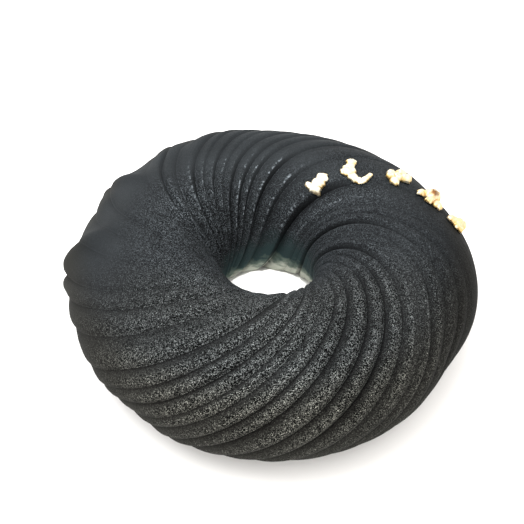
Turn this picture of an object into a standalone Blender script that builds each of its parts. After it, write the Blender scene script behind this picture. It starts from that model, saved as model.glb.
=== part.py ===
"""A ring mousse cake with a twisted, folded surface and five flakes of gold leaf. Metres, +Z up.

The ring is a turned section: rounded over the top, undercut towards a flat base. Its folds start in
the hole, run over the crown and down the outside, and turn round the ring as they go. Here the
turned mesh is laid along the folds, so that every crease is a line of edges.
"""
import math
import random

import bmesh
import bpy
import numpy as np
from mathutils import Vector

MM = 0.001

# Driving dimensions of the ring, in metres.
OUTER_RADIUS = 0.1000
HOLE_RADIUS = 0.0232
CENTRE_HEIGHT = 0.0269
CROWN_HEIGHT = 0.0594
OUTER_FOOT_RADIUS = 0.0835
HOLE_FOOT_RADIUS = 0.0310

# The folds: how far they turn round the ring for each metre of section that they cross, how sharply
# they round off, and how much shallower they get where they gather in the hole.
TWIST_RATE = math.radians(755.0)
FOLD_ROUNDING = 2.0
GATHER_POWER = 0.35

# Each crease: its azimuth where it crosses the crown, in degrees, its depth in millimetres at each of
# the four depth arcs, and where the crest of the fold after it lies, from 0 to 1 across the fold. The
# depth arcs are in the hole, on the crown, on the shoulder and on the side, in metres from the crown.
CREASES = (
    (-170.0, 0.4, 0.4, 0.7, 2.6, 0.55),
    (-157.0, 0.3, 0.3, 0.8, 3.8, 0.60),
    (-139.0, 0.5, 0.8, 0.9, 3.0, 0.60),
    (-129.5, 0.8, 1.2, 1.2, 1.8, 0.62),
    (-116.5, 0.8, 1.2, 1.3, 1.4, 0.80),
    (-101.0, 2.2, 2.2, 2.2, 1.0, 0.78),
    (-92.0, 0.9, 1.3, 2.2, 1.0, 0.60),
    (-84.5, 1.5, 2.2, 3.0, 1.6, 0.50),
    (-77.5, 1.2, 1.5, 2.2, 1.2, 0.45),
    (-72.0, 0.8, 1.2, 1.9, 1.6, 0.67),
    (-64.5, 1.0, 1.8, 2.7, 2.2, 0.50),
    (-57.5, 0.8, 2.2, 3.0, 2.8, 0.57),
    (-47.0, 0.9, 2.4, 3.1, 2.6, 0.47),
    (-38.5, 0.9, 2.2, 3.4, 3.0, 0.47),
    (-30.0, 2.6, 1.4, 1.8, 1.4, 0.55),
    (-20.0, 0.5, 0.4, 0.7, 1.2, 0.60),
    (-13.5, 0.4, 0.8, 1.6, 1.4, 0.60),
    (-5.0, 2.8, 1.0, 0.9, 0.8, 0.55),
    (4.0, 0.8, 1.0, 0.8, 1.0, 0.50),
    (11.0, 1.0, 0.6, 0.4, 0.6, 0.32),
    (32.0, 4.2, 0.8, 0.3, 0.4, 0.28),
    (57.5, 2.4, 0.8, 0.4, 0.8, 0.23),
    (72.5, 3.6, 1.3, 0.8, 1.2, 0.27),
    (83.5, 2.6, 1.3, 0.8, 1.2, 0.36),
    (90.5, 2.8, 1.2, 0.8, 1.2, 0.35),
    (99.0, 2.8, 1.5, 1.0, 1.2, 0.43),
    (106.0, 1.5, 0.8, 0.6, 0.8, 0.25),
    (113.0, 2.4, 1.6, 1.2, 1.2, 0.29),
    (120.0, 1.5, 1.0, 0.8, 1.0, 0.20),
    (126.5, 3.0, 1.8, 1.4, 1.4, 0.30),
    (138.0, 1.6, 1.4, 1.5, 1.6, 0.60),
    (146.5, 2.0, 2.0, 2.2, 2.2, 0.30),
    (155.0, 0.5, 0.4, 0.6, 1.8, 0.55),
    (178.0, 0.5, 0.8, 1.0, 2.8, 0.45),
)
DEPTH_ARCS = (-0.032, 0.0, 0.030, 0.055)

# Neither the outside nor the hole is quite round. Each swelling or dent: its azimuth and half width in
# degrees, and how far it stands out, in millimetres. They fade out towards the crown over this arc.
SWELLINGS = (
    (-156.0, 24.0, -3.2),
    (-129.0, 9.0, -1.8),
    (-75.0, 26.0, 1.2),
    (-34.0, 11.0, -2.2),
    (-6.0, 16.0, 2.0),
    (108.0, 14.0, 2.2),
    (127.0, 5.0, 1.4),
    (139.0, 5.0, -1.2),
    (149.0, 3.0, 1.8),
    (166.0, 11.0, -2.8),
    (181.0, 5.0, 2.6),
)
HOLE_SWELLINGS = (
    (-150.0, 32.0, 2.4),
    (-5.0, 28.0, 1.0),
)
SWELLING_ARC = 0.025

# Below this height the surface only moves sideways, so that the foot stays on the ground.
FOOT_HEIGHT = 0.010

# How the mesh is divided: rows across the section, and about how wide a column is at the crown. Each
# side of a fold has at least this many columns.
SECTION_ROWS = 31
COLUMN_WIDTH = math.radians(2.9)
FEWEST_COLUMNS = 2

# Gold leaf. A flake is a crumpled scrap made of lobes that run into each other. Each lobe has the
# azimuth of its middle in degrees, its distance outwards from the crown line, half length and half
# width in millimetres, the turn of its length from the ring's direction outwards, in degrees, and its
# height in millimetres.
FLAKES = {
    "comma": (
        (60.4, -21.0, 2.1, 1.8, 0.0, 2.0),
        (57.2, -21.8, 2.8, 1.9, 0.0, 1.8),
        (54.2, -21.4, 3.4, 3.0, 90.0, 2.4),
        (54.0, -18.2, 4.0, 3.6, 90.0, 2.8),
        (54.2, -15.2, 3.4, 3.3, 90.0, 2.6),
    ),
    "hook": (
        (48.6, 2.4, 3.0, 2.7, 90.0, 2.2),
        (46.8, -1.6, 3.2, 2.8, 90.0, 2.2),
        (47.0, -5.8, 2.4, 1.8, 60.0, 2.0),
        (44.9, -4.5, 3.6, 3.3, 60.0, 2.6),
        (41.2, -6.0, 3.6, 2.1, 0.0, 2.0),
        (37.2, -5.2, 3.0, 1.9, 0.0, 2.0),
        (35.4, -2.6, 2.8, 1.7, 90.0, 2.0),
        (36.2, 0.6, 2.2, 1.2, 90.0, 1.6),
    ),
    "wings": (
        (31.8, 10.6, 3.2, 2.9, 30.0, 4.0),
        (28.0, 9.4, 2.7, 2.4, 0.0, 3.0),
        (29.8, 13.0, 3.0, 3.0, 90.0, 3.6),
        (28.8, 16.4, 3.4, 3.4, 0.0, 4.4),
        (31.0, 16.0, 2.9, 2.8, 0.0, 4.9),
    ),
    "ridge": (
        (20.5, 20.0, 3.2, 2.2, 90.0, 2.6),
        (18.8, 24.2, 4.4, 4.0, 90.0, 6.0),
        (16.9, 22.0, 3.6, 2.6, 60.0, 3.4),
        (14.9, 24.6, 3.6, 2.5, 0.0, 3.0),
    ),
    "scrap": (
        (9.4, 30.8, 3.4, 3.0, 60.0, 3.6),
        (7.6, 32.8, 3.8, 3.3, 0.0, 3.6),
        (9.8, 36.4, 3.2, 3.0, 0.0, 5.0),
    ),
}
LOBE_SIDES = 9
LOBE_INNER_RADIUS = 0.55
LOBE_UNEVENNESS = 0.16
LOBE_EDGE_LIFT = 0.5 * MM
LOBE_LOWEST_TOP = 0.5
LOBE_ROOT_DEPTH = 3.0 * MM
FLAKE_SEED = 5


def clear_scene():
    """Remove whatever the file opened with."""
    for thing in list(bpy.data.objects):
        bpy.data.objects.remove(thing, do_unlink=True)


def make_material(name, colour, roughness, metallic=0.0):
    """A Principled material in one colour."""
    material = bpy.data.materials.new(name)
    material.use_nodes = True
    shader = material.node_tree.nodes["Principled BSDF"]
    shader.inputs["Base Color"].default_value = (*colour, 1.0)
    shader.inputs["Roughness"].default_value = roughness
    shader.inputs["Metallic"].default_value = metallic
    return material


def section_curve(samples=400):
    """The section from its foot in the hole, over the crown, to its outer foot, as fine points.

    The crown half is one half ellipse. Below the widest line each side runs on as an ellipse of its
    own, made deep enough to reach its foot radius at the base.
    """
    half_width = (OUTER_RADIUS - HOLE_RADIUS) / 2
    middle = (OUTER_RADIUS + HOLE_RADIUS) / 2
    rise = CROWN_HEIGHT - CENTRE_HEIGHT

    def lower_end(foot_radius):
        reach = abs(foot_radius - middle) / half_width
        return math.acos(reach), CENTRE_HEIGHT / math.sqrt(1.0 - reach * reach)

    hole_angle, hole_depth = lower_end(HOLE_FOOT_RADIUS)
    foot_angle, foot_depth = lower_end(OUTER_FOOT_RADIUS)
    angle = np.linspace(math.pi + hole_angle, -foot_angle, samples)
    depth = np.where(np.sin(angle) >= 0, rise, np.where(np.cos(angle) < 0, hole_depth, foot_depth))
    radius = middle + half_width * np.cos(angle)
    height = CENTRE_HEIGHT + depth * np.sin(angle)
    return radius, height


def section_rows():
    """The arcs of the mesh's rows, measured outwards from the crown, and the fine curve they lie on."""
    radius, height = section_curve()
    arc = np.concatenate(([0.0], np.cumsum(np.hypot(np.diff(radius), np.diff(height)))))
    arc -= arc[height.argmax()]
    rows = np.linspace(arc[0], arc[-1], SECTION_ROWS)
    return rows, (arc, radius, height)


def ease(share):
    """A smooth step from 0 to 1."""
    share = min(max(share, 0.0), 1.0)
    return share * share * (3.0 - 2.0 * share)


class Ring:
    """The folded surface of the ring, as a function of azimuth and arc."""

    def __init__(self):
        self.rows, (self.arc, self.radius, self.height) = section_rows()
        self.starts = [math.radians(crease[0]) for crease in CREASES]
        self.ends = self.starts[1:] + [self.starts[0] + 2 * math.pi]

    def section_point(self, arc):
        """Radius, height and outward normal of the plain section at an arc from the crown line."""
        step = 0.2 * MM
        radius, before, after = np.interp((arc, arc - step, arc + step), self.arc, self.radius)
        height, lower, upper = np.interp((arc, arc - step, arc + step), self.arc, self.height)
        run = Vector((after - before, upper - lower)).normalized()
        return radius, height, Vector((-run.y, run.x))

    def fold_depth(self, crown_azimuth, arc, radius):
        """How deep the surface lies under the fold crests."""
        first = self.starts[0]
        place = (crown_azimuth - first) % (2 * math.pi) + first
        fold = max(k for k, start in enumerate(self.starts) if start <= place + 1e-9)
        across = (place - self.starts[fold]) / (self.ends[fold] - self.starts[fold])
        crest = CREASES[fold][-1]
        if across < crest:
            crease = CREASES[fold]
            from_crest = 1.0 - across / crest
        else:
            crease = CREASES[(fold + 1) % len(CREASES)]
            from_crest = (across - crest) / (1.0 - crest)
        depth = np.interp(arc, DEPTH_ARCS, crease[1:-1])
        return depth * MM * (radius / OUTER_RADIUS) ** GATHER_POWER * from_crest ** FOLD_ROUNDING

    def swelling(self, azimuth, arc):
        """How far the uneven ring stands out of a true round."""
        total = 0.0
        for middle, half_width, rise in SWELLINGS if arc > 0 else HOLE_SWELLINGS:
            away = (math.degrees(azimuth) - middle + 180.0) % 360.0 - 180.0
            total += rise * MM * math.exp(-((away / half_width) ** 2))
        return total * ease(abs(arc) / SWELLING_ARC)

    def point(self, azimuth, arc, lift=0.0):
        """The point of the surface at an azimuth and an arc, lifted off it along the normal."""
        radius, height, normal = self.section_point(arc)
        lift -= self.fold_depth(azimuth + TWIST_RATE * arc, arc, radius)
        lift += self.swelling(azimuth, arc)
        radius += normal.x * lift
        height += normal.y * lift * ease(height / FOOT_HEIGHT)
        return Vector((radius * math.cos(azimuth), radius * math.sin(azimuth), height))

    def columns(self):
        """Azimuths at the crown of the mesh's columns: one on each crease and crest, some between."""
        result = []
        for start, end, crease in zip(self.starts, self.ends, CREASES):
            crest = start + (end - start) * crease[-1]
            for near, far in ((start, crest), (crest, end)):
                count = max(FEWEST_COLUMNS, round((far - near) / COLUMN_WIDTH))
                result += [near + (far - near) * k / count for k in range(count)]
        return result


def ring_mesh(ring):
    """Turn the section, lay its columns along the folds, sink the creases and close the base."""
    columns = ring.columns()
    bm = bmesh.new()
    row_layer = bm.verts.layers.int.new("row")
    profile = []
    for row, arc in enumerate(ring.rows):
        radius, height, _ = ring.section_point(arc)
        vertex = bm.verts.new((radius, 0.0, height))
        vertex[row_layer] = row
        profile.append(vertex)
    edges = [bm.edges.new(pair) for pair in zip(profile, profile[1:])]
    bmesh.ops.spin(
        bm, geom=profile + edges, cent=(0, 0, 0), axis=(0, 0, 1), angle=2 * math.pi,
        steps=len(columns), use_merge=True,
    )
    last_row = SECTION_ROWS - 1
    for vertex in bm.verts:
        turned = math.atan2(vertex.co.y, vertex.co.x) / (2 * math.pi) * len(columns)
        crown_azimuth = columns[round(turned) % len(columns)]
        row = vertex[row_layer]
        arc = ring.rows[row]
        vertex.co = ring.point(crown_azimuth - TWIST_RATE * arc, arc)
        if row in (0, last_row):
            vertex.co.z = 0.0
    rim = [edge for edge in bm.edges if edge.is_boundary]
    bmesh.ops.triangle_fill(bm, edges=rim, use_beauty=True, normal=(0, 0, -1))
    bmesh.ops.recalc_face_normals(bm, faces=bm.faces)
    return bm


def lobe_mesh(ring, lobe, chance):
    """A lobe of a flake: a low, uneven dome laid on the mousse, with a root that reaches into it."""
    middle, outwards, half_length, half_width, turn, top_height = lobe
    turn = math.radians(turn)
    bm = bmesh.new()
    bmesh.ops.create_cone(
        bm, cap_ends=True, segments=LOBE_SIDES, radius1=1.0, radius2=1.0, depth=2.0,
    )
    top = max(bm.faces, key=lambda face: face.calc_center_median().z)
    bmesh.ops.inset_region(bm, faces=[top], thickness=1.0 - LOBE_INNER_RADIUS)
    bmesh.ops.poke(bm, faces=[top])
    bmesh.ops.triangulate(bm, faces=bm.faces[:])
    reach = [chance.uniform(1.0 - LOBE_UNEVENNESS, 1.0 + LOBE_UNEVENNESS) for _ in range(LOBE_SIDES)]
    for vertex in bm.verts:
        from_middle = vertex.co.xy.length
        side = round(math.atan2(vertex.co.y, vertex.co.x) / (2 * math.pi) * LOBE_SIDES) % LOBE_SIDES
        along = vertex.co.x * half_length * reach[side]
        across = vertex.co.y * half_width * reach[side]
        if vertex.co.z < 0:
            lift = -LOBE_ROOT_DEPTH
        elif from_middle > 0.9:
            lift = LOBE_EDGE_LIFT
        else:
            lift = top_height * MM * chance.uniform(LOBE_LOWEST_TOP, 1.0)
        arc = (outwards + along * math.sin(turn) + across * math.cos(turn)) * MM
        radius, _, _ = ring.section_point(arc)
        sideways = (along * math.cos(turn) - across * math.sin(turn)) * MM
        vertex.co = ring.point(math.radians(middle) + sideways / radius, arc, lift)
    bmesh.ops.recalc_face_normals(bm, faces=bm.faces)
    return bm


def add_object(name, bm, materials, collection):
    """Turn a bmesh into a named object with its materials."""
    mesh = bpy.data.meshes.new(name)
    bm.to_mesh(mesh)
    bm.free()
    for material in materials:
        mesh.materials.append(material)
    thing = bpy.data.objects.new(name, mesh)
    collection.objects.link(thing)
    return thing


def fuse(body, toppings):
    """Join a collection of toppings to the body they lie on, and remove the loose ones."""
    union = body.modifiers.new("fused_toppings", "BOOLEAN")
    union.operation = "UNION"
    union.solver = "EXACT"
    union.operand_type = "COLLECTION"
    union.collection = toppings
    union.material_mode = "TRANSFER"
    bpy.context.view_layer.objects.active = body
    bpy.ops.object.modifier_apply(modifier=union.name)
    for thing in list(toppings.objects):
        bpy.data.objects.remove(thing, do_unlink=True)
    bpy.data.collections.remove(toppings)


def build():
    clear_scene()
    mousse = make_material("velvet_mousse", (0.055, 0.060, 0.062), 0.9)
    gold = make_material("gold_leaf", (0.90, 0.78, 0.48), 0.35, 1.0)
    scene_collection = bpy.context.scene.collection
    ring = Ring()
    cake = add_object("mousse_ring", ring_mesh(ring), (mousse, gold), scene_collection)
    toppings = bpy.data.collections.new("gold_flakes")
    scene_collection.children.link(toppings)
    chance = random.Random(FLAKE_SEED)
    for name, lobes in FLAKES.items():
        for lobe in lobes:
            add_object("flake_" + name, lobe_mesh(ring, lobe, chance), (gold,), toppings)
    fuse(cake, toppings)
    cake.data.shade_smooth()
    cake.data.set_sharp_from_angle(angle=math.radians(35.0))


build()
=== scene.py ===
# %% [markdown]
# # A ring of mousse with a velvet coat and gold leaf
# This cake is frozen mousse out of a ring mould with twisted folds. It was sprayed with warm black
# cocoa butter, which sets on the frozen surface as a fine nap, and five crumpled scraps of gold leaf
# were laid on its crown.
#
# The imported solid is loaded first. It stays as it is and carries everything that is made here.

# %% Load the frame
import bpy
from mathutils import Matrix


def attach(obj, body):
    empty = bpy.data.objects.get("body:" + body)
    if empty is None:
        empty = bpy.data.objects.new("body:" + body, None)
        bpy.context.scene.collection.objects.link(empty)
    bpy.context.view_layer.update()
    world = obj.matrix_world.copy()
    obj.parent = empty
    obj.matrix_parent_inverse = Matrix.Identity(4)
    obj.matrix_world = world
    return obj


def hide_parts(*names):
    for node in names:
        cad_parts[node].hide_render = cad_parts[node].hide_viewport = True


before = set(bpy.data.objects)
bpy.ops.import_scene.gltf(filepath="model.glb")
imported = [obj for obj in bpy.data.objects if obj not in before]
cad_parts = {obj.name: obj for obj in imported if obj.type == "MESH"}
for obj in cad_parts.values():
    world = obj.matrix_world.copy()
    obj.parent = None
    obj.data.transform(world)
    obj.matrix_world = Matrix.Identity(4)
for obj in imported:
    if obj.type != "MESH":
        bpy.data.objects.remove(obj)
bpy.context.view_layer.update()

# %% [markdown]
# ## The camera
# The picture looks down on the cake from the front. The camera could be placed by hand, but a view
# angle, a direction and a distance from a point on the table are easier to reason about, so these are
# named and the place follows from them. The lights are hung in the same way later on.

# %% Place the camera
import bisect
import functools
import math
import random

import bmesh
import bpy
import numpy as np
from mathutils import Vector, noise

MM = 0.001
VIEW_ANGLE = math.radians(34.0)
VIEW_AZIMUTH = math.radians(-90.0)
VIEW_ELEVATION = math.radians(44.2)
VIEW_DISTANCE = 0.4666
VIEW_TARGET = Vector((-0.0028, 0.0369, 0.0))

scene = bpy.context.scene


def direction(azimuth, elevation):
    """The unit vector at an azimuth and an elevation."""
    level = math.cos(elevation)
    return Vector((level * math.cos(azimuth), level * math.sin(azimuth), math.sin(elevation)))


def hang(name, data, target, towards, distance):
    """Hang a camera or a light at a distance from its target, facing it."""
    hung = bpy.data.objects.new(name, data)
    hung.location = target + distance * towards
    hung.rotation_euler = (-towards).to_track_quat("-Z", "Y").to_euler()
    scene.collection.objects.link(hung)
    return hung


view = bpy.data.cameras.new("camera")
view.angle = VIEW_ANGLE
camera = hang("camera", view, VIEW_TARGET, direction(VIEW_AZIMUTH, VIEW_ELEVATION), VIEW_DISTANCE)
scene.camera = camera
print("camera at", [round(value, 3) for value in camera.location])

# %% [markdown]
# ## The section of the ring
# Cut the ring through and its section is rounded over the top and drawn in below, towards a flat
# base. A bezier curve could draw it, but it would hide the sizes. Here the upper half is half an
# ellipse, and each lower side is an ellipse of its own that is deep enough to reach its foot. A place
# on the section is then one number: its arc, the length along the curve outwards from the crown.

# %% Work out the section
OUTER_RADIUS = 0.1000
HOLE_RADIUS = 0.0232
CENTRE_HEIGHT = 0.0269
CROWN_HEIGHT = 0.0594
OUTER_FOOT_RADIUS = 0.0835
HOLE_FOOT_RADIUS = 0.0310
CURVE_SAMPLES = 1200
HALF_WIDTH = (OUTER_RADIUS - HOLE_RADIUS) / 2
MIDDLE_RADIUS = (OUTER_RADIUS + HOLE_RADIUS) / 2


def lower_side(foot_radius):
    """The angle of the ellipse at which a lower side ends, and the depth of that ellipse."""
    reach = abs(foot_radius - MIDDLE_RADIUS) / HALF_WIDTH
    return math.acos(reach), CENTRE_HEIGHT / math.sqrt(1.0 - reach * reach)


hole_angle, hole_depth = lower_side(HOLE_FOOT_RADIUS)
foot_angle, foot_depth = lower_side(OUTER_FOOT_RADIUS)
angle = np.linspace(math.pi + hole_angle, -foot_angle, CURVE_SAMPLES)
lower_depth = np.where(np.cos(angle) < 0, hole_depth, foot_depth)
depth = np.where(np.sin(angle) >= 0, CROWN_HEIGHT - CENTRE_HEIGHT, lower_depth)
curve_radius = MIDDLE_RADIUS + HALF_WIDTH * np.cos(angle)
curve_height = CENTRE_HEIGHT + depth * np.sin(angle)
steps = np.hypot(np.diff(curve_radius), np.diff(curve_height))
curve_arc = np.concatenate(([0.0], np.cumsum(steps)))
curve_arc -= curve_arc[curve_height.argmax()]
FIRST_ARC = float(curve_arc[0])
LAST_ARC = float(curve_arc[-1])
print(f"section: {1000 * (LAST_ARC - FIRST_ARC):.0f} mm round from foot to foot")


# %% Read the section at any arc
NORMAL_STEP = 0.2 * MM


@functools.lru_cache(maxsize=None)
def section_at(arc):
    """Radius and height of the section at an arc, and the two parts of its outward normal."""
    arcs = (arc, arc - NORMAL_STEP, arc + NORMAL_STEP)
    radius, radius_before, radius_after = np.interp(arcs, curve_arc, curve_radius).tolist()
    height, height_before, height_after = np.interp(arcs, curve_arc, curve_height).tolist()
    run = Vector((radius_after - radius_before, height_after - height_before)).normalized()
    return radius, height, -run.y, run.x


print("crown radius in mm:", round(1000 * section_at(0.0)[0], 1))

# %% [markdown]
# ## The folds
# The mould's folds start in the hole, climb over the crown and run down the outside, and turn round
# the ring all the way. No two are alike: some are wide and shallow, some narrow and deep, and most
# lean over, with the crest nearer one crease than the other. A sine wave would look like a machine's
# work. So each crease is a row of its own, with its place, its four depths and the crest of the fold
# after it, and one formula rounds every fold between its creases.

# %% List the creases
# Azimuth at the crown in degrees, depth in millimetres in the hole, on the crown, on the shoulder and
# on the side, and where the crest of the next fold lies, from 0 to 1 across it.
CREASES = (
    (-170.0, 0.4, 0.4, 0.7, 2.6, 0.55),
    (-157.0, 0.3, 0.3, 0.8, 3.8, 0.60),
    (-139.0, 0.5, 0.8, 0.9, 3.0, 0.60),
    (-129.5, 0.8, 1.2, 1.2, 1.8, 0.62),
    (-116.5, 0.8, 1.2, 1.3, 1.4, 0.80),
    (-101.0, 2.2, 2.2, 2.2, 1.0, 0.78),
    (-92.0, 0.9, 1.3, 2.2, 1.0, 0.60),
    (-84.5, 1.5, 2.2, 3.0, 1.6, 0.50),
    (-77.5, 1.2, 1.5, 2.2, 1.2, 0.45),
    (-72.0, 0.8, 1.2, 1.9, 1.6, 0.67),
    (-64.5, 1.0, 1.8, 2.7, 2.2, 0.50),
    (-57.5, 0.8, 2.2, 3.0, 2.8, 0.57),
    (-47.0, 0.9, 2.4, 3.1, 2.6, 0.47),
    (-38.5, 0.9, 2.2, 3.4, 3.0, 0.47),
    (-30.0, 2.6, 1.4, 1.8, 1.4, 0.55),
    (-20.0, 0.5, 0.4, 0.7, 1.2, 0.60),
    (-13.5, 0.4, 0.8, 1.6, 1.4, 0.60),
    (-5.0, 2.8, 1.0, 0.9, 0.8, 0.55),
    (4.0, 0.8, 1.0, 0.8, 1.0, 0.50),
    (11.0, 1.0, 0.6, 0.4, 0.6, 0.32),
    (32.0, 4.2, 0.8, 0.3, 0.4, 0.28),
    (57.5, 2.4, 0.8, 0.4, 0.8, 0.23),
    (72.5, 3.6, 1.3, 0.8, 1.2, 0.27),
    (83.5, 2.6, 1.3, 0.8, 1.2, 0.36),
    (90.5, 2.8, 1.2, 0.8, 1.2, 0.35),
    (99.0, 2.8, 1.5, 1.0, 1.2, 0.43),
    (106.0, 1.5, 0.8, 0.6, 0.8, 0.25),
    (113.0, 2.4, 1.6, 1.2, 1.2, 0.29),
    (120.0, 1.5, 1.0, 0.8, 1.0, 0.20),
    (126.5, 3.0, 1.8, 1.4, 1.4, 0.30),
    (138.0, 1.6, 1.4, 1.5, 1.6, 0.60),
    (146.5, 2.0, 2.0, 2.2, 2.2, 0.30),
    (155.0, 0.5, 0.4, 0.6, 1.8, 0.55),
    (178.0, 0.5, 0.8, 1.0, 2.8, 0.45),
)
TURN = 2 * math.pi
fold_starts = [math.radians(crease[0]) for crease in CREASES]
fold_ends = fold_starts[1:] + [fold_starts[0] + TURN]
widths = [math.degrees(end - start) for start, end in zip(fold_starts, fold_ends)]
print(f"{len(CREASES)} folds, {min(widths):.1f} to {max(widths):.1f} degrees wide")

# %% Round the folds
# How far a fold turns round the ring per metre of arc.
TWIST_RATE = math.radians(755.0)
# The higher it is, the flatter the crests and the sharper the creases.
FOLD_ROUNDING = 2.0
# Folds get shallower as they gather towards the hole, by this power of the radius.
GATHER_POWER = 0.35
# The arcs of the hole, the crown, the shoulder and the side, where each crease has its four depths.
DEPTH_ARCS = (-0.032, 0.0, 0.030, 0.055)
# A fold line this near to a crease, in radians, lies on it.
CREASE_TOLERANCE = 1e-9


def ease(share):
    """A smooth step from 0 to 1."""
    share = min(max(share, 0.0), 1.0)
    return share * share * (3.0 - 2.0 * share)


def fold_at(crown_azimuth):
    """The nearer crease, and the place across the fold: -1 and 1 at its creases, 0 at its crest."""
    place = (crown_azimuth - fold_starts[0]) % TURN + fold_starts[0]
    fold = max(bisect.bisect_right(fold_starts, place + CREASE_TOLERANCE) - 1, 0)
    share = (place - fold_starts[fold]) / (fold_ends[fold] - fold_starts[fold])
    crest = CREASES[fold][-1]
    if share < crest:
        return CREASES[fold], share / crest - 1.0
    return CREASES[(fold + 1) % len(CREASES)], (share - crest) / (1.0 - crest)


def crease_depth(crease, arc, radius):
    """How deep a crease is at an arc."""
    depth_mm = float(np.interp(arc, DEPTH_ARCS, crease[1:-1]))
    return depth_mm * MM * (radius / OUTER_RADIUS) ** GATHER_POWER


def fold_depth(crown_azimuth, arc, radius):
    """How deep the surface lies under the crests, for the fold line that crosses the crown there."""
    crease, across = fold_at(crown_azimuth)
    return crease_depth(crease, arc, radius) * abs(across) ** FOLD_ROUNDING


print("one turn of a fold needs an arc of", round(1000 * TURN / TWIST_RATE), "mm")

# %% [markdown]
# ## Where the ring isn't round
# The frozen ring was lifted out by hand and has sagged a little: its outside and its hole swell or sink
# in places, by a few millimetres. A lattice or a soft brush could do that, but then a flake of gold
# couldn't ask where the surface is. So each place is a row with its azimuth, its half width and its
# rise. The rise is a bell curve round the ring, and it fades out towards the crown.

# %% Swell the outside and the hole
# Azimuth and half width in degrees, and rise in millimetres.
SWELLINGS = (
    (-156.0, 24.0, -3.2),
    (-129.0, 9.0, -1.8),
    (-75.0, 26.0, 1.2),
    (-34.0, 11.0, -2.2),
    (-6.0, 16.0, 2.0),
    (108.0, 14.0, 2.2),
    (127.0, 5.0, 1.4),
    (139.0, 5.0, -1.2),
    (149.0, 3.0, 1.8),
    (166.0, 11.0, -2.8),
    (181.0, 5.0, 2.6),
)
HOLE_SWELLINGS = (
    (-150.0, 32.0, 2.4),
    (-5.0, 28.0, 1.0),
)
SWELLING_ARC = 0.025
FOOT_HEIGHT = 0.010


def swelling(azimuth, arc):
    """How far the uneven ring stands out of a true round."""
    total = 0.0
    for middle, half_width, rise in SWELLINGS if arc > 0 else HOLE_SWELLINGS:
        away = (math.degrees(azimuth) - middle + 180.0) % 360.0 - 180.0
        total += rise * MM * math.exp(-((away / half_width) ** 2))
    return total * ease(abs(arc) / SWELLING_ARC)


def ring_point(azimuth, arc, lift=0.0):
    """The point of the folded surface at an azimuth and an arc, lifted off it along the normal."""
    radius, height, normal_outwards, normal_up = section_at(arc)
    lift -= fold_depth(azimuth + TWIST_RATE * arc, arc, radius)
    lift += swelling(azimuth, arc)
    radius += normal_outwards * lift
    height += normal_up * lift * ease(height / FOOT_HEIGHT)
    return Vector((radius * math.cos(azimuth), radius * math.sin(azimuth), height))


print("crown at the front in mm:", [round(1000 * value, 1) for value in ring_point(-TURN / 4, 0.0)])

# %% [markdown]
# ## The fine surface of the mousse
# Between its creases the silicone mould left shallow pleats that follow the folds. The spray built up
# unevenly on top of them, in soft waves of a couple of centimetres and in grains. The waves and the
# coarsest grains are real geometry here, so they also show in the outline. They only ever sink the
# surface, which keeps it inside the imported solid's box.

# %% Draw the fine relief
# How many pleats of each kind go round the ring, and the phase of their wave.
PLEATS = ((71, 0.4), (97, 2.1), (131, 4.4))
PLEAT_DEPTH = 0.06 * MM
# Length and depth of the soft waves, of the lumps and of the coarsest grains.
UNEVENNESS = (
    (21 * MM, 0.30 * MM),
    (4.5 * MM, 0.07 * MM),
    (1.7 * MM, 0.05 * MM),
)


def fine_relief(crown_azimuth, point):
    """How far the fine surface lies under the plain folds, always zero or less."""
    pleats = sum(math.sin(count * crown_azimuth + phase) for count, phase in PLEATS) / len(PLEATS)
    depth_here = PLEAT_DEPTH * (pleats - 1.0)
    for length, size in UNEVENNESS:
        depth_here += size * (noise.noise(point / length) - 1.0) / 2
    return depth_here


print("fine relief at the front:", round(1000 * fine_relief(0.0, ring_point(-TURN / 4, 0.0)), 2), "mm")

# %% [markdown]
# ## Spin the ring
# The section is a chain of a few vertices, and one spin turns it into the whole ring. Then every
# column of the mesh is laid along a fold, so that each crease and each crest is a line of edges and
# stays crisp however it twists. A plain lathe mesh would cut across the creases and leave steps.
#
# Each vertex also keeps where it lies across its fold and how deep the nearer crease is there, so that
# the material can tell a crest from a crease.

# %% Choose the columns and rows
SECTION_ROWS = 184
COLUMN_WIDTH = math.radians(0.80)
FEWEST_COLUMNS = 2

columns = []
for start, end, crease in zip(fold_starts, fold_ends, CREASES):
    crest_azimuth = start + (end - start) * crease[-1]
    for near, far in ((start, crest_azimuth), (crest_azimuth, end)):
        count = max(FEWEST_COLUMNS, round((far - near) / COLUMN_WIDTH))
        columns += [near + (far - near) * k / count for k in range(count)]
rows = np.linspace(FIRST_ARC, LAST_ARC, SECTION_ROWS).tolist()
print(f"{len(columns)} columns of {len(rows)} rows")


# %% Spin the section and lay it along the folds
def spin_ring():
    """The whole folded surface, open underneath."""
    bm = bmesh.new()
    row_layer = bm.verts.layers.int.new("row")
    across_layer = bm.verts.layers.float.new("across")
    depth_layer = bm.verts.layers.float.new("crease_mm")
    profile = []
    for row, arc in enumerate(rows):
        radius, height, _, _ = section_at(arc)
        vertex = bm.verts.new((radius, 0.0, height))
        vertex[row_layer] = row
        profile.append(vertex)
    edges = [bm.edges.new(pair) for pair in zip(profile, profile[1:])]
    bmesh.ops.spin(
        bm, geom=profile + edges, cent=(0, 0, 0), axis=(0, 0, 1), angle=TURN,
        steps=len(columns), use_merge=True,
    )
    for vertex in bm.verts:
        turned = math.atan2(vertex.co.y, vertex.co.x) / TURN * len(columns)
        crown_azimuth = columns[round(turned) % len(columns)]
        row = vertex[row_layer]
        arc = rows[row]
        azimuth = crown_azimuth - TWIST_RATE * arc
        vertex.co = ring_point(azimuth, arc, fine_relief(crown_azimuth, ring_point(azimuth, arc)))
        crease, vertex[across_layer] = fold_at(crown_azimuth)
        vertex[depth_layer] = crease_depth(crease, arc, section_at(arc)[0]) / MM
        if row in (0, SECTION_ROWS - 1):
            vertex.co.z = 0.0
    return bm


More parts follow.
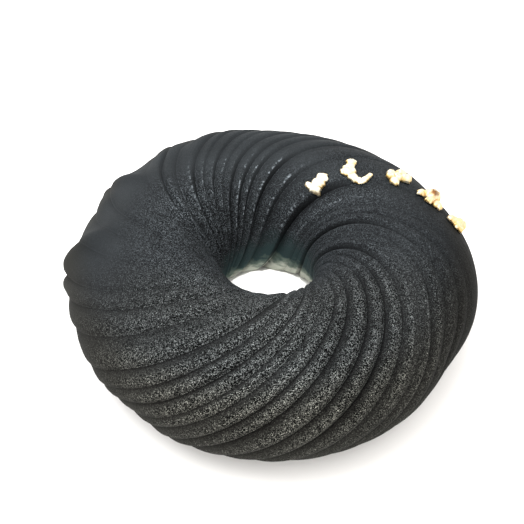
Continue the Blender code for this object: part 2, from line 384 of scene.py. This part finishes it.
ring_mesh = spin_ring()
print("spun:", len(ring_mesh.verts), "vertices,", len(ring_mesh.faces), "faces")

# %% Close the flat base
rim = [edge for edge in ring_mesh.edges if edge.is_boundary]
bmesh.ops.triangle_fill(ring_mesh, edges=rim, use_beauty=True, normal=(0, 0, -1))
bmesh.ops.recalc_face_normals(ring_mesh, faces=ring_mesh.faces)
still_open = sum(edge.is_boundary for edge in ring_mesh.edges)
print("base closed,", still_open, "open edges left")


# %% Turn it into a piece
def make_piece(name, bm):
    """A finished mesh piece that rides on the cake's body and stands for its solid."""
    mesh = bpy.data.meshes.new(name)
    bm.to_mesh(mesh)
    bm.free()
    mesh.shade_smooth()
    piece = bpy.data.objects.new(name, mesh)
    scene.collection.objects.link(piece)
    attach(piece, "root")
    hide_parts("mousse_ring")
    return piece


ring = make_piece("velvet_ring", ring_mesh)
print("velvet_ring size in mm:", [round(1000 * value, 1) for value in ring.dimensions])

# %% [markdown]
# ## Helpers for materials
# Colours are written as the sRGB hex values that a colour picker shows, and Blender's shaders want
# linear light, so one function turns the one into the other. Another adds a node: it sets the node's
# properties, and gives each input either a value or a link. The rest are the few steps that the
# materials repeat. An output knows which node tree it belongs to, so they needn't be told.

# %% Colours and nodes
def linear(hex_colour):
    """Linear RGBA from an sRGB hex colour."""
    channels = [int(hex_colour[k:k + 2], 16) / 255 for k in (1, 3, 5)]
    return (*(c / 12.92 if c <= 0.04045 else ((c + 0.055) / 1.055) ** 2.4 for c in channels), 1.0)


def add_node(tree, kind, inputs, **settings):
    """Add a node with its settings. Each input gets a value, or a link if it is given an output."""
    made = tree.nodes.new(kind)
    for name, value in settings.items():
        setattr(made, name, value)
    for socket, value in inputs.items():
        if isinstance(value, bpy.types.NodeSocket):
            tree.links.new(value, made.inputs[socket])
        else:
            made.inputs[socket].default_value = value
    return made


def new_material(name):
    """A material with an empty node tree."""
    material = bpy.data.materials.new(name)
    material.use_nodes = True
    material.node_tree.nodes.clear()
    return material


def finish_material(material, inputs):
    """Give a material a Principled shader with these inputs."""
    shader = add_node(material.node_tree, "ShaderNodeBsdfPrincipled", inputs)
    add_node(material.node_tree, "ShaderNodeOutputMaterial", {"Surface": shader.outputs[0]})


print("mid grey in linear light:", [round(value, 3) for value in linear("#808080")])


# %% Steps that the materials repeat
def ramp(value, start, end, low=0.0, high=1.0):
    """A smooth step of a value: low up to the start, high from the end on."""
    return add_node(
        value.id_data, "ShaderNodeMapRange",
        {"Value": value, "From Min": start, "From Max": end, "To Min": low, "To Max": high},
        interpolation_type="SMOOTHSTEP",
    ).outputs[0]


def calculate(operation, *values):
    """One step of arithmetic on outputs and numbers."""
    tree = next(value.id_data for value in values if isinstance(value, bpy.types.NodeSocket))
    return add_node(tree, "ShaderNodeMath", dict(enumerate(values)), operation=operation).outputs[0]


def times(*values):
    """The product of two or more values."""
    return functools.reduce(functools.partial(calculate, "MULTIPLY"), values)


def scaled(vector, factor):
    """A place or a colour, times a factor."""
    return add_node(
        vector.id_data, "ShaderNodeVectorMath", {0: vector, "Scale": factor}, operation="SCALE",
    ).outputs[0]


def mix_colours(share, first, second):
    """The first colour where the share is 0, the second where it is 1."""
    return add_node(
        share.id_data, "ShaderNodeMix", {0: share, 6: first, 7: second}, data_type="RGBA",
    ).outputs[2]


def soft_noise(place, size, detail):
    """Noise from 0 to 1 with features of about this size."""
    return add_node(
        place.id_data, "ShaderNodeTexNoise", {"Vector": place, "Scale": 1.0 / size, "Detail": detail},
    ).outputs["Fac"]


def random_cells(place, size):
    """Cells of about this size, each with three random tones of its own."""
    cells = add_node(
        place.id_data, "ShaderNodeTexVoronoi",
        {"Vector": place, "Scale": 1.0 / size, "Randomness": 1.0}, feature="F1",
    )
    return add_node(place.id_data, "ShaderNodeSeparateColor", {0: cells.outputs["Color"]}).outputs


print("steps: ramp, calculate, times, scaled, mix_colours, soft_noise, random_cells")

# %% [markdown]
# ## Velvet spray: cocoa butter on frozen mousse
# Black cocoa butter is sprayed warm on the frozen cake, where each droplet sets at once. That leaves a
# nap like felt, with thousands of tiny crystals of fat and frost that catch the light as white points.
# Real droplets are about 0.2 mm across. The grains here are 0.28 mm, just coarse enough to show in a
# close view. Fine geometry would need millions of vertices, so a pattern of random cells gives every
# grain its own tone instead, and the white points are painted glints in the colour.
#
# The grain isn't the same all over. Its strength follows where the crystals glint, so it is partly
# painted light: it is strongest on the crests at the front, it thins out towards the back and the left,
# and it leaves the creases smooth. Rows of painted glints, coarser beads of light, sit on the crests
# where they dip into the hole.
#
# All that follows from smooth steps between two places, and so do the tones of the coat further on. The
# places are in millimetres: to the right of the middle of the base, in front of it, above it, or away
# from the axis.

# %% Where the surface is
FRONT = tuple(direction(math.radians(-87.0), 0.0))
velvet = new_material("velvet_spray_cocoa_butter")
tree = velvet.node_tree
place = add_node(tree, "ShaderNodeTexCoord", {}).outputs["Object"]

# These are in millimetres, apart from across_fold: -1 and 1 at a fold's creases, 0 at its crest.
place_mm = scaled(place, 1.0 / MM)
to_right, _, height_up = add_node(tree, "ShaderNodeSeparateXYZ", {0: place_mm}).outputs
to_front = add_node(
    tree, "ShaderNodeVectorMath", {0: place_mm, 1: FRONT}, operation="DOT_PRODUCT",
).outputs["Value"]
flat_place = add_node(
    tree, "ShaderNodeVectorMath", {0: place_mm, 1: (1.0, 1.0, 0.0)}, operation="MULTIPLY",
).outputs[0]
from_axis = add_node(
    tree, "ShaderNodeVectorMath", {0: flat_place}, operation="LENGTH",
).outputs["Value"]
across_fold = add_node(tree, "ShaderNodeAttribute", {}, attribute_name="across").outputs["Fac"]
crease_mm = add_node(tree, "ShaderNodeAttribute", {}, attribute_name="crease_mm").outputs["Fac"]
print("front of the coat:", [round(value, 2) for value in FRONT])

# %% Where the grain is strong
# How strong the grain is, set by place: it stands for where the crystals glint, so it is partly painted
# light.
LEAST_SHARE = 0.08
behind_right = ramp(to_right, 20.0, 50.0, LEAST_SHARE, ramp(to_front, -85.0, -45.0, 0.12, 0.50))
behind_hole = ramp(
    to_front, -56.0, -20.0, LEAST_SHARE, ramp(to_right, -30.0, -6.0, 0.80, 0.40),
)
back_share = calculate("MAXIMUM", behind_right, times(ramp(from_axis, 80.0, 44.0), behind_hole))
front_share = times(
    ramp(to_front, 2.0, 66.0, back_share, 1.0), ramp(to_right, -100.0, -10.0, 0.42, 1.0),
)
crown_share = ramp(height_up, 16.0, 46.0, 0.34, 1.0)
smooth_share = ramp(to_right, 35.0, 62.0, 0.80, 0.42)
crest_share = times(
    ramp(across_fold, -0.80, -0.10, 0.30, 1.0), ramp(across_fold, 1.0, 0.70, 0.30, 1.0),
)
fold_share = add_node(
    tree, "ShaderNodeMix", {0: ramp(crease_mm, 0.5, 1.8), 2: smooth_share, 3: crest_share},
    data_type="FLOAT",
).outputs[0]
grain_share = times(front_share, crown_share, fold_share)
print("grain is strongest at the front, on the crests")

# %% Grains of fat and frost
GRAIN_SIZE = 0.28 * MM
GRAIN_CONTRAST = 8.0
GRAIN_MIDDLE = 0.72
# Sparks are painted glints: the brightest tenth of the grains is made many times lighter in the colour.
SPARK_START = 0.90
SPARK_LIGHT = 12.0
grain_tone, spark_tone, _ = random_cells(place, GRAIN_SIZE)
contrast = calculate("MULTIPLY_ADD", grain_tone, GRAIN_CONTRAST, -GRAIN_CONTRAST * GRAIN_MIDDLE)
grain_light = calculate("EXPONENT", times(contrast, grain_share))
spark = add_node(
    tree, "ShaderNodeMapRange",
    {"Value": spark_tone, "From Min": SPARK_START, "From Max": 1.0, "To Max": SPARK_LIGHT},
).outputs[0]
speckle = calculate("ADD", grain_light, times(spark, grain_share))
print("grains of", 1000 * GRAIN_SIZE, "mm,", round(100 * (1 - SPARK_START)), "% of them sparks")

# %% Painted glints on the crests into the hole
# Painted highlights: beads of light along the crests, made as bright spots in the coat's colour.
GLINT_BEAD_SIZE = 1.1 * MM
GLINT_BEAD_START = 0.62
GLINT_BEAD_LIGHT = 7.5
GLINT_BEAD_BOTTOM = 30.0
glint_bead_tone = random_cells(place, GLINT_BEAD_SIZE)[2]
on_crest = times(
    ramp(across_fold, -0.20, -0.02), ramp(across_fold, 0.20, 0.02), ramp(crease_mm, 0.6, 1.6),
)
glint_bead_edge = ramp(to_right, -20.0, 8.0, 66.0, 58.0)
upper_hole = times(
    ramp(from_axis, glint_bead_edge, 46.0), ramp(height_up, GLINT_BEAD_BOTTOM, 44.0),
    ramp(to_front, 4.0, -16.0), ramp(to_right, 6.0, 20.0, 1.0, 0.35),
)
painted_crest_glints = times(ramp(glint_bead_tone, GLINT_BEAD_START, 1.0, 0.0, GLINT_BEAD_LIGHT), on_crest, upper_hole)
speckle_and_crest_glints = calculate("ADD", speckle, painted_crest_glints)
print(f"beads of {1000 * GLINT_BEAD_SIZE:.1f} mm, down to {GLINT_BEAD_BOTTOM:.0f} mm above the base")

# %% [markdown]
# ## How dark the coat is
# The coat is nearly black, a touch bluish on top and browner round the outside. Its colour is also
# darkened down the slopes and at the bottom of each crease, by the crease's depth: painted shade, for
# the light that felt-like nap swallows in a crease, far more than a smooth surface would, and which a
# render could only show with every fibre of the nap in place. Slow drifts stand for a coat that was
# sprayed by hand, and a few broad tones are painted light and shade over parts of the ring.

# %% Tones of the coat, with painted light and shade
COAT_COOL = linear("#26292b")
COAT_WARM = linear("#2a2a27")
DRIFT_SIZE = 34 * MM
warm_share = ramp(from_axis, 80.0, 98.0, ramp(to_front, 10.0, 50.0, 0.0, 0.4), 1.0)
coat = mix_colours(warm_share, COAT_COOL, COAT_WARM)
# The drift is the coat's uneven spray. The two side ramps are painted shade, darker towards the right
# and the left edges.
drift_and_painted_shading = [
    ramp(soft_noise(place, DRIFT_SIZE, detail=3.0), 0.3, 0.7, 0.88, 1.12),
    ramp(to_right, 58.0, 101.0, 1.0, 0.28),
    ramp(to_right, -60.0, -98.0, 1.0, 0.74),
]
# Painted light and shade by place: lighter at the front edge, darker at the front right, lighter over
# the crests behind the hole, and darker on the left rim of the hole.
for share, tone in (
    (ramp(to_front, 60.0, 95.0), 1.18),
    (times(ramp(to_front, 40.0, 64.0), ramp(to_right, 8.0, 34.0)), 0.80),
    (times(ramp(to_front, 0.0, -25.0), ramp(from_axis, 70.0, 52.0)), 1.15),
    (times(ramp(to_right, -8.0, -22.0), ramp(from_axis, 46.0, 34.0)), 0.72),
):
    drift_and_painted_shading.append(ramp(share, 0.0, 1.0, 1.0, tone))
grained_shaded_coat = scaled(coat, times(speckle_and_crest_glints, *drift_and_painted_shading))
print("coat colour drifts over patches of", 1000 * DRIFT_SIZE, "mm")

# %% Painted shade in the creases
# The colour darkens with the crease's depth, down each slope and most at its bottom: painted shade,
# softer at the back.
SLOPE_FADE = 0.22
SLOPE_POWER = 2.0
BOTTOM_FADE = 0.32
BOTTOM_POWER = 7.0
BACK_FADE = 0.62
VALLEY_SHADOW = 0.55
beside_crest = calculate("ABSOLUTE", across_fold)
slope_fade = times(calculate("POWER", beside_crest, SLOPE_POWER), SLOPE_FADE)
fade = calculate(
    "MULTIPLY_ADD", calculate("POWER", beside_crest, BOTTOM_POWER), BOTTOM_FADE, slope_fade,
)
minus_depth = times(crease_mm, ramp(to_front, -30.0, -58.0, -1.0, -BACK_FADE))
# Painted shadow: on the inner half of the ring, where creases are deep, the slope on one side of each
# crest is darker, as the side away from the light.
in_valley = times(ramp(across_fold, -0.10, -0.45), ramp(from_axis, 64.0, 52.0))
painted_valley_shadow = times(in_valley, ramp(crease_mm, 1.0, 2.2, 0.0, VALLEY_SHADOW))
crease_shade = times(
    calculate("EXPONENT", times(fade, minus_depth)), calculate("SUBTRACT", 1.0, painted_valley_shadow),
)
print(f"a crease 3 mm deep keeps {100 * math.exp(-3 * (SLOPE_FADE + BOTTOM_FADE)):.0f} % of its light")

# %% [markdown]
# ## Where the spray didn't reach
# Low in the hole the coat thins to a dark teal, then to a green-grey, and at the foot the cream mousse
# shows. Three colours are laid over one another, each from its own height down, and noise makes the
# edge between them wander.

# %% The bare mousse low in the hole
THIN_TEAL = linear("#263536")
BARE_GREEN = linear("#59655c")
BARE_CREAM = linear("#a3a69a")
EDGE_LENGTH = 5 * MM
EDGE_WANDER = 18.0
BARE_RADIUS = 44.0
wander = soft_noise(place, EDGE_LENGTH, detail=5.0)
wandering = calculate("MULTIPLY_ADD", wander, -EDGE_WANDER, height_up)
edge_height = calculate("SUBTRACT", wandering, ramp(to_right, -10.0, 6.0, 0.0, 5.0))
in_hole = ramp(from_axis, BARE_RADIUS, 36.0)
surface_colour = grained_shaded_coat
for colour, start, end in (
    (THIN_TEAL, 24.0, 4.0),
    (BARE_GREEN, 5.0, -3.0),
    (BARE_CREAM, -1.0, -7.0),
):
    share = times(ramp(edge_height, start, end), in_hole)
    surface_colour = mix_colours(share, surface_colour, colour)
print("bare mousse shows within", BARE_RADIUS, "mm of the axis, low down")

# %% [markdown]
# ## The nap
# The coat is quite rough and hardly glossy, since nap has no even surface to mirror the room. Fibres
# and grains stand up by a fraction of a millimetre. As geometry they would cost millions of vertices,
# so they are a bump.

# %% The nap, as roughness and bump
COAT_IOR = 1.46
COAT_ROUGHNESS = 0.72
COAT_GLOSS = 0.04
NAP_SIZE = 0.9 * MM
NAP_HEIGHT = 0.16 * MM
NAP_STRENGTH = 0.55
GRAIN_RISE = 0.5
nap = calculate("MULTIPLY_ADD", grain_tone, GRAIN_RISE, soft_noise(place, NAP_SIZE, detail=2.0))
bump = add_node(
    tree, "ShaderNodeBump", {"Height": nap, "Strength": NAP_STRENGTH, "Distance": NAP_HEIGHT},
)
finish_material(velvet, {
    "Base Color": scaled(surface_colour, crease_shade), "Roughness": COAT_ROUGHNESS, "IOR": COAT_IOR,
    "Specular IOR Level": COAT_GLOSS, "Normal": bump.outputs["Normal"],
})
ring.data.materials.append(velvet)
print("velvet:", len(tree.nodes), "nodes")

# %% [markdown]
# ## Crumpled gold leaf
# Edible leaf is a film under a thousandth of a millimetre thick. Dropped with tweezers it folds over
# itself into small scraps like popcorn, which stand two to six millimetres off the velvet. A cloth
# simulation would work, but these scraps have known places and outlines. So each is made of
# overlapping lobes, like the solid's, and every lobe is a film that is pushed up and creased by noise.

# %% List the flakes' lobes
# Azimuth of the middle in degrees, distance outwards from the crown line, half length and half width
# in millimetres, the turn of the length from the ring's direction outwards in degrees, and the height
# in millimetres.
FLAKES = {
    "comma": (
        (60.4, -21.0, 2.1, 1.8, 0.0, 2.0),
        (57.2, -21.8, 2.8, 1.9, 0.0, 1.8),
        (54.2, -21.4, 3.4, 3.0, 90.0, 2.4),
        (54.0, -18.2, 4.0, 3.6, 90.0, 2.8),
        (54.2, -15.2, 3.4, 3.3, 90.0, 2.6),
    ),
    "hook": (
        (48.6, 2.4, 3.0, 2.7, 90.0, 2.2),
        (46.8, -1.6, 3.2, 2.8, 90.0, 2.2),
        (47.0, -5.8, 2.4, 1.8, 60.0, 2.0),
        (44.9, -4.5, 3.6, 3.3, 60.0, 2.6),
        (41.2, -6.0, 3.6, 2.1, 0.0, 2.0),
        (37.2, -5.2, 3.0, 1.9, 0.0, 2.0),
        (35.4, -2.6, 2.8, 1.7, 90.0, 2.0),
        (36.2, 0.6, 2.2, 1.2, 90.0, 1.6),
    ),
    "wings": (
        (31.8, 10.6, 3.2, 2.9, 30.0, 4.0),
        (28.0, 9.4, 2.7, 2.4, 0.0, 3.0),
        (29.8, 13.0, 3.0, 3.0, 90.0, 3.6),
        (28.8, 16.4, 3.4, 3.4, 0.0, 4.4),
        (31.0, 16.0, 2.9, 2.8, 0.0, 4.9),
    ),
    "ridge": (
        (20.5, 20.0, 3.2, 2.2, 90.0, 2.6),
        (18.8, 24.2, 4.4, 4.0, 90.0, 6.0),
        (16.9, 22.0, 3.6, 2.6, 60.0, 3.4),
        (14.9, 24.6, 3.6, 2.5, 0.0, 3.0),
    ),
    "scrap": (
        (9.4, 30.8, 3.4, 3.0, 60.0, 3.6),
        (7.6, 32.8, 3.8, 3.3, 0.0, 3.6),
        (9.8, 36.4, 3.2, 3.0, 0.0, 5.0),
    ),
}
print(len(FLAKES), "flakes of", sum(len(lobes) for lobes in FLAKES.values()), "lobes")

# %% Crumple one lobe
FILM_SEGMENTS = 18
FILM_THICKNESS = 0.10 * MM
FILM_EDGE_LIFT = 0.3 * MM
CRUMPLE_LENGTH = 3.0 * MM
CRUMPLE_SHARE = 0.50
CRUMPLE_OCTAVES = 3
EDGE_RAGGEDNESS = 0.40
EDGE_RIPPLES = 1.8
NOISE_SPREAD = 50.0


def crumple_lobe(bm, lobe, chance):
    """Add a lobe to a flake: a square of film drawn into a ragged disc, crumpled and laid down."""
    middle, outwards, half_length, half_width, turn, top_height = lobe
    turn = math.radians(turn)
    rise = top_height * MM - FILM_EDGE_LIFT
    rim_layer = bm.verts.layers.float["towards_rim"]
    film = bmesh.ops.create_grid(bm, x_segments=FILM_SEGMENTS, y_segments=FILM_SEGMENTS, size=1.0)
    offset = Vector([chance.uniform(-NOISE_SPREAD, NOISE_SPREAD) for _ in range(3)])
    for vertex in film["verts"]:
        u, v, _ = vertex.co
        x = u * math.sqrt(1.0 - v * v / 2)
        y = v * math.sqrt(1.0 - u * u / 2)
        from_middle = min(math.hypot(x, y), 1.0)
        ragged = noise.noise(offset + EDGE_RIPPLES * direction(math.atan2(y, x), 0.0))
        stretch = 1.0 + EDGE_RAGGEDNESS * ragged
        along = x * half_length * stretch * MM
        across = y * half_width * stretch * MM
        crumple = noise.turbulence(
            offset + Vector((along, across, 0.0)) / CRUMPLE_LENGTH, CRUMPLE_OCTAVES, True,
            noise_basis="PERLIN_ORIGINAL",
        )
        crumpled = 1.0 - CRUMPLE_SHARE * min(crumple, 1.0)
        lift = FILM_EDGE_LIFT + rise * math.sqrt(1.0 - from_middle ** 2) * crumpled
        arc = outwards * MM + along * math.sin(turn) + across * math.cos(turn)
        sideways = along * math.cos(turn) - across * math.sin(turn)
        vertex.co = ring_point(math.radians(middle) + sideways / section_at(arc)[0], arc, lift)
        vertex[rim_layer] = from_middle


print("film of", round(1000 * FILM_THICKNESS, 2), "mm, coarser than real leaf so that it has two faces")

# %% Make the five flakes
FLAKE_SEED = 5
chance = random.Random(FLAKE_SEED)
flakes = []
for name, lobes in FLAKES.items():
    flake_mesh = bmesh.new()
    flake_mesh.verts.layers.float.new("towards_rim")
    for lobe in lobes:
        crumple_lobe(flake_mesh, lobe, chance)
    bmesh.ops.recalc_face_normals(flake_mesh, faces=flake_mesh.faces)
    bmesh.ops.solidify(flake_mesh, geom=flake_mesh.faces, thickness=FILM_THICKNESS)
    flakes.append(make_piece("gold_" + name, flake_mesh))
print("flakes:", [(flake.name, len(flake.data.polygons)) for flake in flakes])

# %% [markdown]
# ## Gold leaf
# Beaten gold of 22 or 23 carats is paler than solid gold. The film is smooth metal, but wrinkles finer
# than the mesh break its mirror into a satin gleam, so it gets some roughness and a fine bump. In such
# a bright room its upper faces burn out to white. The scraps on the left are the palest, those at the
# far right lean to peach, and the ragged rims are a deeper gold. One tucked fold of the ridge is
# painted brown as shade, where the film faces itself.

# %% Beaten gold
GOLD_WHITE = linear("#efe9d6")
GOLD_PALE = linear("#d3ccb3")
GOLD_PEACH = linear("#d2bd9d")
GOLD_DEEP = linear("#c6a767")
GOLD_PAINTED_SHADE = linear("#6b4420")
# Azimuth of the tucked fold, its arc and its height over the velvet.
TUCK = (math.radians(18.0), 23.4 * MM, 4.6 * MM)
PATCH_SIZE = 3.2 * MM
WRINKLE_SIZE = 0.9 * MM
WRINKLE_HEIGHT = 0.15 * MM
WRINKLE_STRENGTH = 0.5
GOLD_METALLIC = 0.85
GOLD_ROUGHNESS = 0.45
gold = new_material("beaten_gold_leaf")
tree = gold.node_tree
place = add_node(tree, "ShaderNodeTexCoord", {}).outputs["Object"]
along_arc = add_node(tree, "ShaderNodeSeparateXYZ", {0: place}).outputs["X"]
towards_rim = add_node(tree, "ShaderNodeAttribute", {}, attribute_name="towards_rim").outputs["Fac"]
patch = soft_noise(place, PATCH_SIZE, detail=2.0)
leaf_colour = GOLD_WHITE
for colour, share in (
    (GOLD_PALE, ramp(along_arc, 28 * MM, 36 * MM)),
    (GOLD_PEACH, ramp(along_arc, 70 * MM, 84 * MM)),
    (GOLD_DEEP, times(ramp(towards_rim, 0.55, 1.0, 0.2, 1.0), ramp(patch, 0.35, 0.60))),
):
    leaf_colour = mix_colours(share, leaf_colour, colour)
from_tuck = add_node(
    tree, "ShaderNodeVectorMath", {0: place, 1: tuple(ring_point(*TUCK))}, operation="DISTANCE",
).outputs["Value"]
# Painted shade: a brown patch in the tucked fold.
tuck_shade_share = times(ramp(from_tuck, 3.0 * MM, 1.2 * MM), ramp(patch, 0.30, 0.50, 0.3, 1.0))
wrinkle = soft_noise(place, WRINKLE_SIZE, detail=3.0)
bump = add_node(
    tree, "ShaderNodeBump",
    {"Height": wrinkle, "Strength": WRINKLE_STRENGTH, "Distance": WRINKLE_HEIGHT},
)
finish_material(gold, {
    "Base Color": mix_colours(tuck_shade_share, leaf_colour, GOLD_PAINTED_SHADE), "Metallic": GOLD_METALLIC,
    "Roughness": GOLD_ROUGHNESS, "Normal": bump.outputs["Normal"],
})
for flake in flakes:
    flake.data.materials.append(gold)
print("gold on", len(flakes), "flakes")

# %% [markdown]
# ## Floor and light
# The cake stands on a plain pale surface. The picture is exposed for a black cake, so everything pale
# round it is nearly burnt out. A dim room with a paler coat would match the cake as well, but not the
# floor, so the room is bright from all sides and the coat is as dark as the real one. A soft window
# high on the left, behind the cake, tells the two slopes of each fold apart, and a narrow spot keeps
# the floor bright where it is seen through the hole.

# %% Lay the floor
FLOOR_SIZE = 4.0
floor_mesh = bmesh.new()
bmesh.ops.create_grid(floor_mesh, x_segments=1, y_segments=1, size=FLOOR_SIZE / 2)
mesh = bpy.data.meshes.new("floor")
floor_mesh.to_mesh(mesh)
floor_mesh.free()
floor = bpy.data.objects.new("floor", mesh)
scene.collection.objects.link(floor)

FLOOR_COLOUR = linear("#efeeec")
FLOOR_ROUGHNESS = 0.85
FLOOR_GLOSS = 0.2
paint = new_material("matt_white_floor")
finish_material(paint, {
    "Base Color": FLOOR_COLOUR, "Roughness": FLOOR_ROUGHNESS, "Specular IOR Level": FLOOR_GLOSS,
})
floor.data.materials.append(paint)
print("floor", FLOOR_SIZE, "m across")

# %% Hang the lights
WINDOW_SIZE = 1.4
WINDOW_AZIMUTH = math.radians(150.0)
WINDOW_ELEVATION = math.radians(62.0)
WINDOW_DISTANCE = 1.4
WINDOW_WATTS = 21.0
WINDOW_COLOUR = linear("#f8fbff")
SPOT_ELEVATION = math.radians(68.0)
SPOT_DISTANCE = 1.5
SPOT_WATTS = 150.0
SPOT_BLEND = 0.15
SPOT_RADIUS = 0.01
ROOM_STRENGTH = 2.1
ROOM_COLOUR = linear("#fffdfb")

window = bpy.data.lights.new("window", "AREA")
window.size = WINDOW_SIZE
window.energy = WINDOW_WATTS
window.color = WINDOW_COLOUR[:3]
hang("window", window, Vector(), direction(WINDOW_AZIMUTH, WINDOW_ELEVATION), WINDOW_DISTANCE)

spot = bpy.data.lights.new("spot_into_hole", "SPOT")
spot.energy = SPOT_WATTS
spot.spot_size = 2 * math.atan(HOLE_RADIUS / SPOT_DISTANCE)
spot.spot_blend = SPOT_BLEND
spot.shadow_soft_size = SPOT_RADIUS
narrowest = Vector((0.0, 0.0, CENTRE_HEIGHT))
hang("spot_into_hole", spot, narrowest, direction(VIEW_AZIMUTH, SPOT_ELEVATION), SPOT_DISTANCE)

world = bpy.data.worlds.new("bright_room")
world.use_nodes = True
world.node_tree.nodes.clear()
room = add_node(
    world.node_tree, "ShaderNodeBackground", {"Color": ROOM_COLOUR, "Strength": ROOM_STRENGTH},
)
add_node(world.node_tree, "ShaderNodeOutputWorld", {"Surface": room.outputs[0]})
scene.world = world
scene.view_settings.view_transform = "Standard"
print("a bright room, one window and a spot into the hole")
